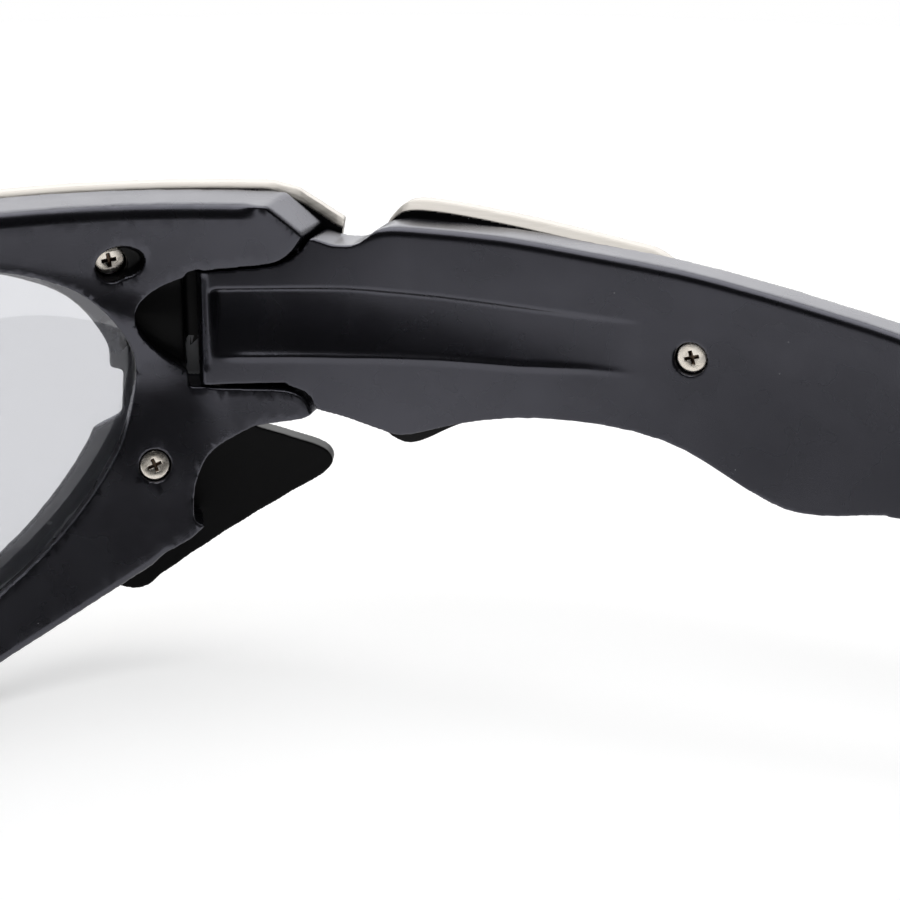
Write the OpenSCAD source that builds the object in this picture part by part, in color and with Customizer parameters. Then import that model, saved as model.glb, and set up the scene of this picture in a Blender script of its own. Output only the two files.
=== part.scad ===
// Wraparound sunglasses: a moulded front with two lenses, screwed-on metal plates and folding arms.
// Millimetres, +Z up. The front faces -Y and the wearer's right is -X.
// The origin lies on the resting plane, in the middle of the object's box.
// Each side is drawn about its own wrap centre, and the left side is the right one mirrored.
// A place on the front is an arc length from that centre's foremost line, and a height.

/* [Front] */
// Horizontal radius of the front's outer face on each side
front_r = 60; // [57:0.5:63]
// Distance of each wrap centre from the middle plane
wrap_x = 8; // [7:0.25:9]
// Vertical radius of the front's faces
front_v = 90; // [80:5:120]
// Height of the level where the front bulges furthest, above the lens middle
bulge_z = 6; // [4:0.5:8]
// Wall of the moulded front, from its inner face to its outer face
front_t = 5; // [4.8:0.1:5.6]
// Height of the brow above the lens opening
brow_h = 4.2; // [3.8:0.1:5]
// Height of the lower rim below the lens opening
rim_h = 5.3; // [4.8:0.1:6]

/* [Lens] */
// Width of the rear lens opening, along the arc of the inner face
lens_w = 50.3; // [48:0.5:52]
// Height of the rear lens opening
lens_h = 36; // [34:0.5:38]
// Thickness of a lens
lens_t = 2; // [1.6:0.1:2.2]
// Depth of a lens's back face behind the front's inner face
lens_back = 1.8; // [1.5:0.1:2]
// How far a lens reaches into its groove
groove_d = 0.8; // [0.6:0.1:1]
// How far the front lip covers the lens
lip_w = 1.8; // [1.4:0.1:2.2]
// Height of the small bay in the outer end of the front lip
bay_h = 3.8; // [3:0.2:4.4]

/* [Hinge] */
// Arc from the lens opening's outer end to the root of the lugs
lug_reach = 6.1; // [5.9:0.1:7]
// Arc from the root of the lugs to the hinge axis
axis_back = 1.4; // [1.2:0.05:1.6]
// Height of the hinge's middle above the lens middle
hinge_z = 9.45; // [8.8:0.05:10]
// Height of the arm's knuckle between the two lugs
knuckle_h = 10.7; // [9.8:0.1:11]
// Radius of the knuckle's barrel, and its reach ahead of the axis
barrel_r = 1.7; // [1.6:0.05:1.75]
// Depth of the hinge axis behind the front's inner face
axis_in = 2.2; // [2.1:0.05:2.3]
// Radius of the hinge screw's shank
pin_r = 0.8; // [0.7:0.05:0.85]
// Length of the lugs behind their root
lug_len = 9.75; // [9.4:0.05:10.4]

/* [Arms] */
// Length of an arm behind the root of the lugs
arm_len = 95.75; // [90:0.5:102]
// Reference height of an arm's front half
arm_h = 17; // [16:0.25:18]
// Thickness of an arm at the hinge
arm_t = 3.9; // [3.6:0.1:4]
// Thickness of an arm at its tip
arm_tip_t = 3.3; // [3:0.1:3.6]
// Radius of the arm's long, nearly straight curve
arm_r = 180; // [165:5:220]
// Length of the rubber sock on the arm's tip
sock_len = 30; // [26:1:32]
// Wall of the rubber sock
sock_t = 0.9; // [0.7:0.1:1]

/* [Metal plates] */
// Thickness of the plates on the brow and the arms
plate_t = 2; // [1.6:0.1:2.2]
// How far the brow plate stands above the front's top edge
plate_rise = 0.35; // [0.25:0.05:0.6]

/* [Screws] */
// Radius of a plate screw's head
head_r = 1.35; // [1.25:0.05:1.45]
// Height of a plate screw's head
head_h = 0.6; // [0.5:0.05:0.7]
// Radius of a plate screw's shank
shank_r = 0.6; // [0.5:0.05:0.65]
// Depth of the upper brow screw's head under the inner face
upper_sink = 1.7; // [1.4:0.1:1.8]
// Depth of the lower brow screw's head under the inner face
lower_sink = 0.4; // [0.3:0.1:0.8]
// Depth of the arm screw's head under the inner face
arm_sink = 0.35; // [0.2:0.05:0.5]

/* [Nose pads] */
// Height of a nose pad
pad_h = 14; // [12:0.5:15]
// Width of a nose pad, front to back
pad_w = 8.4; // [7.6:0.2:9]
// Thickness of a nose pad
pad_t = 2; // [1.6:0.1:2.4]
// Lean of a nose pad outwards towards its lower end, in degrees
pad_lean = 24; // [20:1:27]
// Turn of a nose pad outwards towards its rear edge, in degrees
pad_splay = 24; // [18:1:28]

/* [Hidden] */

black = [0.1, 0.1, 0.11];
smoke = [0.55, 0.56, 0.6, 0.6];
nickel = [0.72, 0.7, 0.67];
steel = [0.85, 0.83, 0.8];
rubber = [0.14, 0.14, 0.15];

over = 1;              // overrun of cuts past a face
lens_gap = 0.05;       // between a lens and its groove
plate_gap = 0.05;      // between a plate and what it lies on
slot_gap = 0.2;        // between the knuckle and the lugs
lug_fit = 0.02;        // between the hinge screw and the lugs, on the radius
knuckle_fit = 0.05;    // between the hinge screw and the knuckle, on the radius
screw_fit = 0.1;       // between a plate screw and the moulding, on the radius
thread_fit = 0.02;     // between a plate screw and its tapped hole, on the radius
head_fit = 0.15;       // between a screw head and its counterbore, on the radius
peg_fit = 0.05;        // between a pad's peg and its hole, on the radius
fold_gap = 0.3;        // between an arm's shoulder and the lug ends
unit_len = front_t / 5;              // scale of the smallest details
inner_r = front_r - front_t;
wrap_y = front_r;
nose_arc = wrap_x / 4;               // lens opening's inner end, as an arc
lens_mid = nose_arc + lens_w / 2;
lug_arc = nose_arc + lens_w + lug_reach;
hinge_arc = lug_arc + axis_back;
top_z = lens_h / 2 + brow_h;
low_z = lens_h / 2 + rim_h;
foot_cut = rim_h / 18;               // height of the flat foot under each rim
rest_z = foot_cut - low_z;           // resting plane
hinge_r = inner_r + axis_in;
hinge_a = deg(hinge_arc);
hinge_x = -wrap_x - hinge_r * sin(hinge_a);
hinge_y = wrap_y - hinge_r * cos(hinge_a);
slot_low = hinge_z - knuckle_h / 2 - slot_gap;
slot_top = hinge_z + knuckle_h / 2 + slot_gap;
drop = hinge_z - rest_z;             // from the hinge's middle down to the resting plane
root_y = wrap_y - hinge_r * cos(deg(lug_arc)); // the arm's places are counted from the root of the lugs
tip_y = root_y + arm_len;
axis_a = deg(lug_arc + lug_len) / 2; // direction, in degrees, that the front's prisms point in
curve_steps = 5;                     // points between two places of a drawn curve

function deg(arc) = arc / inner_r * 180 / PI;
// Radius of a face of the front at a height, from its radius at the bulge
function face_r(r, z) = r - front_v + sqrt(front_v * front_v - (z - bulge_z) * (z - bulge_z));

// Smooth curves through places
function weigh(a, b, c, d, t) =
    ((2 * b) + (c - a) * t + (2 * a - 5 * b + 4 * c - d) * t * t
        + (3 * b - a - 3 * c + d) * t * t * t) / 2;
function open_curve(p, n = curve_steps) = concat(
    [for (i = [0 : len(p) - 2]) for (k = [0 : n - 1])
        weigh(p[max(i - 1, 0)], p[i], p[i + 1], p[min(i + 2, len(p) - 1)], k / n)],
    [p[len(p) - 1]]);
function ring_curve(p, n = curve_steps) =
    [for (i = [0 : len(p) - 1]) for (k = [0 : n - 1])
        weigh(p[(i + len(p) - 1) % len(p)], p[i], p[(i + 1) % len(p)], p[(i + 2) % len(p)], k / n)];
function normal(a, b) = [b[1] - a[1], a[0] - b[0]] / norm(b - a);
// A closed outline, drawn clockwise, moved outwards by d
function grow(p, d) =
    [for (i = [0 : len(p) - 1])
        let (n = len(p), a = normal(p[i], p[(i + n - 1) % n]), b = normal(p[(i + 1) % n], p[i]), m = a + b)
        p[i] + m * (d * 2 / (m * m))];

// A closed outline with its long edges split, so that a prism's twisted sides stay close to smooth
function fine(p, most) =
    [for (i = [0 : len(p) - 1])
        let (a = p[i], b = p[(i + 1) % len(p)], n = max(1, ceil(norm(b - a) / most)))
        for (k = [0 : n - 1]) a + (b - a) * k / n];

// Places from tables of shares
function by(table, w, h) = [for (p = table) [p[0] * w, p[1] * h]];
function around_lens(table, h) = [for (p = table) [lens_mid + p[0] * lens_w / 2, p[1] * h]];
function from_lug(table, h, base = 0) = [for (p = table) [lug_arc + p[0] * lug_len, base + p[1] * h]];

// Outline of the rear lens opening, clockwise from the brow
opening_shares = [
    [0.00, 0.98], [0.45, 0.95], [0.79, 0.78], [0.96, 0.52], [1.00, 0.27], [0.90, -0.13],
    [0.62, -0.56], [0.16, -0.93], [-0.24, -1.03], [-0.60, -0.90], [-0.84, -0.52],
    [-0.97, 0.00], [-0.99, 0.42], [-0.86, 0.79], [-0.50, 0.95]
];
opening = ring_curve(around_lens(opening_shares, lens_h / 2));

// Outline of the moulded front's right half, clockwise from the middle plane along the brow
bridge_top_shares = [[-1.8, 0.68], [-0.92, 0.69], [-0.36, 0.74]];
brow_shares = [[-0.93, 0.85], [-0.62, 0.94], [-0.24, 0.99], [0.22, 1.0], [0.60, 0.99], [1.02, 0.975]];
lug_end_shares = [[0.64, 0.95], [1.16, 0.93], [1.16, 0.06]];
facet_share = 0.79;                  // height of the lug's facet at its low end, of the brow's
facet_slope = -45;                   // that facet's slope towards the back, in degrees
scallop_shares = [
    [0.99, 0.06], [0.88, 0.035], [0.55, 0.01], [0.40, -0.01], [0.05, -0.12], [-0.10, -0.26], [-0.145, -0.40],
    [-0.13, -0.48], [-0.03, -0.50]
];
lower_rim_shares = [
    [0.91, 0.597], [0.64, 0.725], [0.38, 0.828], [0.10, 0.927], [-0.24, 1.0], [-0.55, 0.93], [-0.78, 0.74]
];
nose_shares = [[0.48, 0.47], [0.06, 0.17], [-0.30, -0.09], [-0.60, -0.215], [-0.92, -0.265], [-1.8, -0.265]];
silhouette = concat(
    open_curve(concat(by(bridge_top_shares, wrap_x, top_z), around_lens(brow_shares, top_z),
        from_lug([lug_end_shares[0]], top_z))),
    from_lug([lug_end_shares[1], lug_end_shares[2]], top_z),
    open_curve(from_lug(scallop_shares, lens_h / 2)),
    open_curve(concat(around_lens(lower_rim_shares, -low_z), by(nose_shares, wrap_x, -low_z))));

// Slot for the arm, between and behind the lugs; heights are shares of the knuckle's slot
slot_h = slot_top - slot_low;
lug_low_shares = [[0.74, -0.035], [0.85, -0.07], [0.94, -0.13], [0.995, -0.24]];
lug_top_shares = [[0.966, 1.28], [0.86, 1.155], [0.72, 1.065], [0.5, 1.03]];
nib = barrel_r / 3;                  // rounding of the knuckle's front corner
slot_ahead = norm([barrel_r, axis_in] - [nib, nib]) + nib + slot_gap; // room for that corner as the arm folds
slot_wall_share = 0.72;              // of the lugs' length, closed from outside by a thin wall
lug_low = open_curve(from_lug(lug_low_shares, slot_h, slot_low));
lug_top = open_curve(from_lug(lug_top_shares, slot_h, slot_low));
arm_slot = concat(
    [[hinge_arc - slot_ahead, slot_top], [lug_arc, slot_top]],
    [for (i = [len(lug_top) - 1 : -1 : 0]) if (lug_top[i][0] < lug_arc + lug_len * 0.8) lug_top[i]],
    from_lug([[1.3, 1.08], [1.3, -0.04]], slot_h, slot_low),
    [for (i = [len(lug_low) - 1 : -1 : 0]) if (lug_low[i][0] < lug_arc + lug_len * 0.8) lug_low[i]],
    [[lug_arc, slot_low], [hinge_arc - slot_ahead, slot_low]]);

// The same end of the lugs seen from the side, as [distance back, height]: the arm meets it there
function arc_y(arc) = wrap_y - inner_r * cos(deg(arc));
function seen(table) = [for (p = table) [arc_y(p[0]), p[1]]];
function turned(p) = [for (i = [len(p) - 1 : -1 : 0]) p[i]];
wall_arc = lug_arc + slot_wall_share * lug_len;
lug_end_arc = lug_arc + lug_len;
lug_end = concat(
    [for (p = turned(lug_top)) if (p[0] >= wall_arc) p],
    [[lug_end_arc, slot_low + slot_h * 1.3], [lug_end_arc, top_z + front_t]]);
lug_low_end = concat(
    [[lug_end_arc, -front_t], [lug_end_arc, slot_low - slot_h * 0.3]],
    [for (p = turned(lug_low)) if (p[0] >= wall_arc) p]);
rear_cut = concat(seen(lug_end), [[arc_y(lug_end_arc) + front_t * 2, top_z + front_t],
    [arc_y(lug_end_arc) + front_t * 2, -front_t]], seen(lug_low_end));
tongue_outline = concat(
    [[arc_y(hinge_arc) - front_t, slot_low + slot_gap], [arc_y(hinge_arc) - front_t, slot_top - slot_gap],
        [arc_y(lug_arc), slot_top - slot_gap]],
    [for (p = turned(lug_top)) if (p[0] < lug_arc + lug_len * 0.8) [arc_y(p[0]), p[1] - slot_gap * 1.5]],
    [[arc_y(lug_end_arc) + front_t / 2, slot_top], [arc_y(lug_end_arc) + front_t / 2, slot_low + slot_gap]]);

// Scooped pocket ahead of the knuckle, on the inner face
pocket_shares = [
    [0.02, 0.96], [-0.16, 0.95], [-0.44, 0.85], [-0.60, 0.71], [-0.58, 0.51], [-0.37, 0.29], [-0.07, 0.11],
    [0.02, 0.13]
];
pocket = ring_curve([for (i = [len(pocket_shares) - 1 : -1 : 0])
    from_lug([pocket_shares[i]], slot_h, slot_low)[0]]);
pocket_share = 0.6;                  // the pocket's depth, of the front's wall

// Metal plate over the brow, the outer corner and the lower fin
brow_plate_top_shares = [[0.05, 1.0], [0.45, 1.0], [0.93, 0.99]];
brow_plate_end_shares = [[0.30, 0.975], [0.68, 0.968], [0.90, 0.935], [1.28, 0.81]];
brow_plate_side_shares = [[1.22, 0.66], [0.86, 0.52], [0.68, 0.34], [0.58, 0.12], [0.46, -0.07]];
fin_shares = [[0.98, -0.15], [1.10, -0.18], [1.145, -0.23], [1.06, -0.28]];
fin_low_shares = [[1.064, 0.652], [1.02, 0.687], [0.945, 0.687]];
brow_plate_tail_shares = [[0.76, 0.60], [0.62, 0.545], [0.56, 0.50]];
brow_plate_inner_shares = [
    [0.76, -0.50], [0.92, -0.22], [1.03, 0.05], [1.07, 0.31], [1.03, 0.56], [0.90, 0.80],
    [0.62, 0.97], [0.30, 1.035], [-0.10, 1.05], [-0.42, 1.03]
];
brow_plate_outline = concat(
    open_curve(concat(
        [[lens_mid - lens_w * 0.23, lens_h / 2 * 1.10]],
        [for (p = brow_plate_top_shares) [lens_mid + p[0] * lens_w / 2, p[1] * top_z + plate_rise]],
        from_lug([brow_plate_end_shares[0], brow_plate_end_shares[1]], top_z + plate_rise))),
    from_lug([brow_plate_end_shares[2], brow_plate_end_shares[3]], top_z + plate_rise),
    open_curve(from_lug(brow_plate_side_shares, top_z)),
    open_curve(from_lug(fin_shares, top_z)),
    open_curve(concat(around_lens(fin_low_shares, -low_z), around_lens(brow_plate_tail_shares, -low_z))),
    open_curve(around_lens(brow_plate_inner_shares, lens_h / 2)));

// Side outline of an arm. Distances are shares of its length, behind the root of the lugs. They keep
// clear of the lugs, which end at lug_end_share of the real arm.
lug_end_share = 0.1018;
function arm_back(share) = lug_len + (share - lug_end_share) * (arm_len - lug_len) / (1 - lug_end_share);
arm_top_shares = [
    [0.122, 0.455], [0.138, 0.450], [0.150, 0.475], [0.162, 0.53], [0.176, 0.555], [0.200, 0.555],
    [0.281, 0.532], [0.360, 0.480], [0.444, 0.425], [0.515, 0.356], [0.586, 0.279], [0.650, 0.205]
];
tail_top_shares = [
    [0.707, 0.054], [0.770, -0.032], [0.833, -0.153], [0.895, -0.322], [0.948, -0.507], [0.985, -0.700],
    [1.0, -0.860]
];
tip_shares = [[0.996, -0.96], [0.985, -1.0], [0.930, -1.0]];
tail_low_shares = [[0.906, -0.915], [0.864, -0.747], [0.812, -0.587], [0.760, -0.464], [0.707, -0.400]];
arm_low_shares = [
    [0.650, -0.735], [0.614, -0.768], [0.577, -0.785], [0.545, -0.755], [0.505, -0.650], [0.460, -0.530],
    [0.411, -0.462], [0.352, -0.436], [0.290, -0.455], [0.240, -0.510], [0.205, -0.572], [0.183, -0.597],
    [0.160, -0.560], [0.132, -0.505]
];
function arm_place(table, h) = [for (p = table) [root_y + arm_back(p[0]), hinge_z + p[1] * h]];
shoulder_top = [for (p = turned(lug_top)) if (p[0] > wall_arc) [arc_y(p[0]) + fold_gap, p[1] - fold_gap]];
shoulder_low = [for (p = turned(lug_low)) if (p[0] > wall_arc) [arc_y(p[0]) + fold_gap, p[1] + fold_gap]];
arm_outline = concat(
    shoulder_top,
    open_curve(concat(arm_place(arm_top_shares, arm_h), arm_place(tail_top_shares, drop),
        arm_place([tip_shares[0]], drop)), 2),
    arm_place([tip_shares[1], tip_shares[2]], drop),
    open_curve(concat(arm_place(tail_low_shares, drop), arm_place(arm_low_shares, arm_h)), 2),
    shoulder_low);

tail_outline = concat(
    open_curve(concat(arm_place([for (i = [9 : 11]) arm_top_shares[i]], arm_h),
        arm_place(tail_top_shares, drop), arm_place([tip_shares[0]], drop)), 2),
    arm_place([tip_shares[1], tip_shares[2]], drop),
    open_curve(concat(arm_place(tail_low_shares, drop),
        arm_place([for (i = [0 : 4]) arm_low_shares[i]], arm_h)), 2));

// Plan of an arm: it follows the wrap to bend_a, then its own long curve
bend_a = hinge_a + 17.7;             // in degrees round the wrap centre
arm_in = unit_len / 10;              // from the front's inner face to the arm's
arm_face_r = inner_r + arm_in;
bend_x = -wrap_x - arm_face_r * sin(bend_a);
bend_y = wrap_y - arm_face_r * cos(bend_a);
long_x = bend_x + arm_r * sin(bend_a);
long_y = bend_y + arm_r * cos(bend_a);
tip_a = acos((long_y - tip_y) / arm_r);
end_a = tip_a + 4;
function spot(x, y, r, a) = [x - r * sin(a), y - r * cos(a)];
function arm_wall(a) = arm_t + (arm_tip_t - arm_t) * max(0, (a - bend_a) / (tip_a - bend_a));
wrap_step = (bend_a - hinge_a) / 6;
long_step = (end_a - bend_a) / 8;
// One face of the arm in plan, a depth behind its inner face, as a share of the wall plus a length
function arm_line(share, more) = concat(
    [for (a = [hinge_a + wrap_step * 2 : wrap_step : bend_a - wrap_step / 2])
        spot(-wrap_x, wrap_y, arm_face_r + share * arm_wall(a) + more, a)],
    [for (a = [bend_a : long_step : end_a + long_step / 2])
        spot(long_x, long_y, arm_r + share * arm_wall(a) + more, a)]);

// Groove-like channel along the arm's inner face
channel_low = hinge_z - knuckle_h * 0.235;
channel_top = hinge_z + knuckle_h * 0.315;
channel_d = arm_t * 0.27;
channel_start = hinge_a - deg(barrel_r) / 4;
channel_end_share = 0.42;            // of the arm's length

// Metal plate on an arm's outer face
plate_front_shares = [[0.154, 0.40], [0.157, 0.50], [0.164, 0.565], [0.175, 0.625], [0.192, 0.64], [0.231, 0.62]];
plate_back_shares = [
    [0.300, 0.560], [0.385, 0.475], [0.418, 0.430], [0.455, 0.27], [0.495, 0.03], [0.500, -0.10],
    [0.470, -0.17], [0.400, -0.20], [0.330, -0.30], [0.270, -0.50], [0.225, -0.60], [0.190, -0.705],
    [0.170, -0.71], [0.150, -0.62], [0.140, -0.48]
];
arm_plate_outline = open_curve(concat(
    arm_place(plate_front_shares, arm_h), arm_place(plate_back_shares, arm_h)), 3);

// Places of the screws
upper_screw = [lens_mid + lens_w * 0.464, lens_h * 0.452];
lower_screw = [lens_mid + lens_w * 0.526, -lens_h * 0.09];
arm_screw_share = 0.461;             // of the arm's length, behind the hinge
arm_screw_z = hinge_z - arm_h * 0.04;
web = 0.8 * unit_len;                // least wall under a counterbore
tap_share = 0.7;                     // depth of a tapped hole, of the plate it is in

// A solid between two faces of the front, on the right side, radii at the bulge
module shell(r0, r1, bands = 10) {
    levels = [for (i = [0 : bands]) -low_z - over * 4 + i * (low_z + top_z + over * 8) / bands];
    translate([-wrap_x, wrap_y, 0])
    rotate([0, 0, 180]) // from the wearer's right round to the middle
    rotate_extrude(angle = 112, $fn = 96)
    polygon(concat([for (z = levels) [face_r(r1, z), z]],
        [for (i = [len(levels) - 1 : -1 : 0]) [face_r(r0, levels[i]), levels[i]]]));
}

// A prism through the front, square to its faces in plan. Its outline is of [arc, height] on the
// inner face. Its heights spread towards the outer face by a share of a straight line from the wrap
// centre. Without that spread its sides are twisted, so they get two more rings near the faces.
module through(drawn, spread = 1) {
    outline = spread == 1 ? drawn : fine(drawn, spread > 0 ? front_t * 1.6 : front_t * 0.8);
    n = len(outline);
    function reach(a) = spread > 0 ? [inner_r * 0.6 / cos(a), front_r * 1.12 / cos(a)]
        : [inner_r * 0.6 / cos(a), inner_r - over, front_r + front_t / 2, front_r * 1.12 / cos(a)];
    last = len(reach(0)) - 1;
    translate([-wrap_x, wrap_y, 0])
    rotate([0, 0, -axis_a])
    mirror([1, 0, 0])
    polyhedron(
        points = [for (k = [0 : last]) for (p = outline)
            let (a = deg(p[0]) - axis_a, r = reach(a)[k])
            [r * sin(a), -r * cos(a), p[1] * (1 + spread * (r / inner_r - 1))]],
        faces = concat(
            [[for (i = [0 : n - 1]) n - 1 - i]],
            [[for (i = [0 : n - 1]) n * last + i]],
            [for (k = [0 : last - 1]) for (i = [0 : n - 1]) [n * k + i, n * k + (i + 1) % n, n * (k + 1) + i]],
            [for (k = [0 : last - 1]) for (i = [0 : n - 1])
                [n * k + (i + 1) % n, n * (k + 1) + (i + 1) % n, n * (k + 1) + i]]));
}

// Puts its children at a place on the front, with +Z along the wall towards the wearer
module on_front(place, r) {
    a = deg(place[0]);
    here = face_r(inner_r, place[1]);
    lean = asin((place[1] - bulge_z) / front_v);
    translate([-wrap_x - (here + r - inner_r) * sin(a), wrap_y - (here + r - inner_r) * cos(a), place[1]])
    rotate([0, 0, -a])
    rotate([-90 - lean, 0, 0])
    children();
}

// Puts its children on an arm's inner face at a share of its length, +Z towards the wearer
module on_arm(share, z, depth) {
    a = acos((long_y - root_y - arm_back(share)) / arm_r);
    p = spot(long_x, long_y, arm_r + depth, a);
    translate([p[0], p[1], z])
    rotate([0, 0, -a])
    rotate([-90, 0, 0])
    children();
}

// Moves the model so that its origin lies on the resting plane, in the middle of its box
module placed() {
    translate([0, -tip_y / 2, -rest_z]) children();
}
module left_side() {
    mirror([1, 0, 0]) children();
}

// A counterbore for a head and a clearance hole, opening towards +Z from the head's seat at z = 0
module screw_cut(depth) {
    cylinder(r = head_r + head_fit, h = depth + over * 3, $fn = 48);
    translate([0, 0, -front_t]) cylinder(r = shank_r + screw_fit, h = front_t + over, $fn = 32);
}

// A cross-head screw whose head rests at z = 0
module screw(length) {
    cross_w = head_r * 0.32;
    difference() {
        union() {
            cylinder(r = head_r, h = head_h * 0.75, $fn = 48);
            translate([0, 0, head_h * 0.75])
            cylinder(r1 = head_r, r2 = head_r * 0.8, h = head_h * 0.25, $fn = 48);
            translate([0, 0, -length]) cylinder(r = shank_r, h = length + head_h / 2, $fn = 32);
        }
        for (a = [0, 90]) rotate([0, 0, a])
            translate([-head_r * 0.62, -cross_w / 2, head_h * 0.35])
            cube([head_r * 1.24, cross_w, head_h]);
    }
}

// Local frame of the right nose pad: +X is its face towards the nose, +Y is back, +Z is up
module at_pad() {
    translate([-wrap_x * 1.33, front_t * 1.92, -lens_h / 6])
    rotate([0, pad_lean, pad_splay])
    children();
}
function oval(w, h, n = 40) = [for (i = [0 : n - 1]) [w / 2 * cos(i * 360 / n), h / 2 * sin(i * 360 / n)]];
wing_t = 2.2 * unit_len;
peg_r = 0.9 * unit_len;
peg_len = wing_t * 0.65;
module pegs(r, length) {
    for (s = [-1, 1])
        translate([-length, 0, s * pad_h / 4])
        rotate([0, 90, 0])
        cylinder(r = r, h = length + over / 2, $fn = 32);
}
module nose_wing() {
    at_pad()
    translate([-wing_t, 0, 0])
    rotate([90, 0, 90])
    linear_extrude(wing_t)
    polygon(concat(
        [for (a = [-90 : 10 : 90]) [pad_w * 0.47 * cos(a), pad_h * 0.47 * sin(a)]],
        [[-pad_w * 0.95, pad_h * 0.42], [-pad_w * 0.95, -pad_h * 0.42]]));
}

// Moulded front: both rims, the bridge and the hinge lugs in one piece
module front_half() {
    difference() {
        union() {
            intersection() {
                shell(inner_r, front_r);
                through(silhouette, 0.2);
            }
            intersection() {
                nose_wing();
                translate([-wrap_x * 4, front_t * 0.6, -low_z])
                cube([wrap_x * 4, front_t * 4, low_z * 2]);
            }
        }
        // Lens opening: wide behind the lens, narrow through the front lip
        intersection() {
            shell(inner_r - over * 6, inner_r + lens_back + lens_t / 2, 4);
            through(opening);
        }
        through(grow(opening, -lip_w));
        intersection() {
            shell(inner_r + lens_back - lens_gap, inner_r + lens_back + lens_t + lens_gap);
            through(grow(opening, groove_d + lens_gap));
        }
        intersection() {
            shell(inner_r + lens_back + lens_t / 2, front_r + over * 3, 4);
            through([
                [nose_arc + lens_w - lip_w * 2, lens_h * 0.13 + bay_h / 4],
                [nose_arc + lens_w - lip_w / 3, lens_h * 0.13],
                [nose_arc + lens_w - lip_w / 2, lens_h * 0.13 - bay_h],
                [nose_arc + lens_w - lip_w * 2, lens_h * 0.13 - bay_h * 1.3]]);
        }
        // Slot for the knuckle: a thin wall stays outside it, and the arm passes behind the wall
        intersection() {
            through(arm_slot, 0);
            translate([-wrap_x, wrap_y, slot_low - front_t])
            cylinder(r = hinge_r + barrel_r + slot_gap, h = slot_h + front_t * 3, $fn = 96);
        }
        from_side(rear_cut);
        translate(concat(spot(-wrap_x, wrap_y, face_r(inner_r, top_z), deg(lug_end_arc)), top_z * facet_share))
        rotate([facet_slope, 0, 0])
        translate([-front_t * 4, -front_t * 4, 0]) cube([front_t * 8, front_t * 8, front_t * 4]);
        intersection() {
            shell(inner_r - over * 6, inner_r + front_t * pocket_share, 4);
            through(pocket, 0);
        }
        // Hinge screw: an access hole from below, then a bore through both lugs
        translate([hinge_x, hinge_y, slot_low - front_t * 2.6])
        cylinder(r = barrel_r * 0.8 + head_fit / 2, h = front_t * 2, $fn = 48);
        translate([hinge_x, hinge_y, slot_low - front_t])
        cylinder(r = pin_r + lug_fit, h = slot_h + front_t * 1.7, $fn = 48);
        on_front(upper_screw, inner_r + upper_sink + head_h) screw_cut(upper_sink + head_h);
        on_front(lower_screw, inner_r + lower_sink + head_h) screw_cut(lower_sink + head_h);
        at_pad() pegs(peg_r + peg_fit, peg_len + peg_fit);
        // Flat foot, and a clean cut at the middle plane
        translate([-wrap_x * 20, -front_r, rest_z - front_r])
        cube([wrap_x * 40, front_r * 3, front_r]);
        translate([0, -front_r, -front_r]) cube([front_r, front_r * 3, front_r * 2]);
    }
}
module front_frame() {
    color(black) placed() {
        front_half();
        left_side() front_half();
    }
}

module lens() {
    color(smoke) intersection() {
        shell(inner_r + lens_back, inner_r + lens_back + lens_t);
        through(grow(opening, groove_d));
    }
}

module brow_plate() {
    bed = front_r + plate_gap;
    color(nickel) difference() {
        intersection() {
            shell(bed, bed + plate_t);
            through(brow_plate_outline, 0);
        }
        // Tapped holes in line with the screws, counted from their seats
        for (s = [[upper_screw, upper_sink + head_h], [lower_screw, lower_sink + head_h]])
            on_front(s[0], inner_r + s[1])
            translate([0, 0, s[1] - front_t - plate_gap - plate_t * tap_share])
            cylinder(r = shank_r + thread_fit, h = plate_t * 2, $fn = 32);
    }
}

module brow_screw(place, sink) {
    color(steel) on_front(place, inner_r + sink + head_h)
    screw(front_t - sink - head_h + plate_gap + plate_t * tap_share * 0.8);
}

// Hinge screw: its head sits in the access hole and its shank passes both lugs
module hinge_screw() {
    seat = slot_low - front_t * 0.6;
    slot_w = pin_r * 0.5;
    color(steel) translate([hinge_x, hinge_y, seat]) difference() {
        union() {
            translate([0, 0, -pin_r * 1.6]) cylinder(r = barrel_r * 0.8, h = pin_r * 1.6, $fn = 48);
            translate([0, 0, -pin_r / 2])
            cylinder(r = pin_r, h = front_t * 1.2 + slot_h + pin_r / 2, $fn = 48);
        }
        translate([-barrel_r, -slot_w / 2, -pin_r * 1.6 - over]) cube([barrel_r * 2, slot_w, over + pin_r * 0.7]);
    }
}

module nose_pad() {
    crown_r = pad_h * 1.3;
    color(rubber) at_pad() difference() {
        union() {
            intersection() {
                rotate([90, 0, 90]) translate([0, 0, plate_gap]) linear_extrude(pad_t) polygon(oval(pad_w, pad_h));
                translate([pad_t + plate_gap - crown_r, 0, 0]) sphere(r = crown_r, $fn = 96);
            }
            translate([plate_gap, 0, 0]) pegs(peg_r, peg_len);
        }
        translate([pad_t, -pad_w, -pad_h]) cube([over * 3, pad_w * 2, pad_h * 2]);
    }
}

// The arm's plan wall, from one depth of its wall to another, standing at full height
module arm_slab(from, from_more, to, to_more) {
    translate([0, 0, rest_z - over])
    linear_extrude(top_z - rest_z + over * 2)
    polygon(concat(arm_line(from, from_more), turned(arm_line(to, to_more))));
}
// A side outline of [distance back, height] run through everything to the wearer's right
module from_side(outline) {
    rotate([90, 0, 90])
    translate([0, 0, -front_r * 1.6])
    linear_extrude(front_r * 1.4)
    polygon(outline);
}
module arm_body() {
    intersection() {
        arm_slab(0, 0, 1, 0);
        from_side(arm_outline);
    }
}
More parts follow.
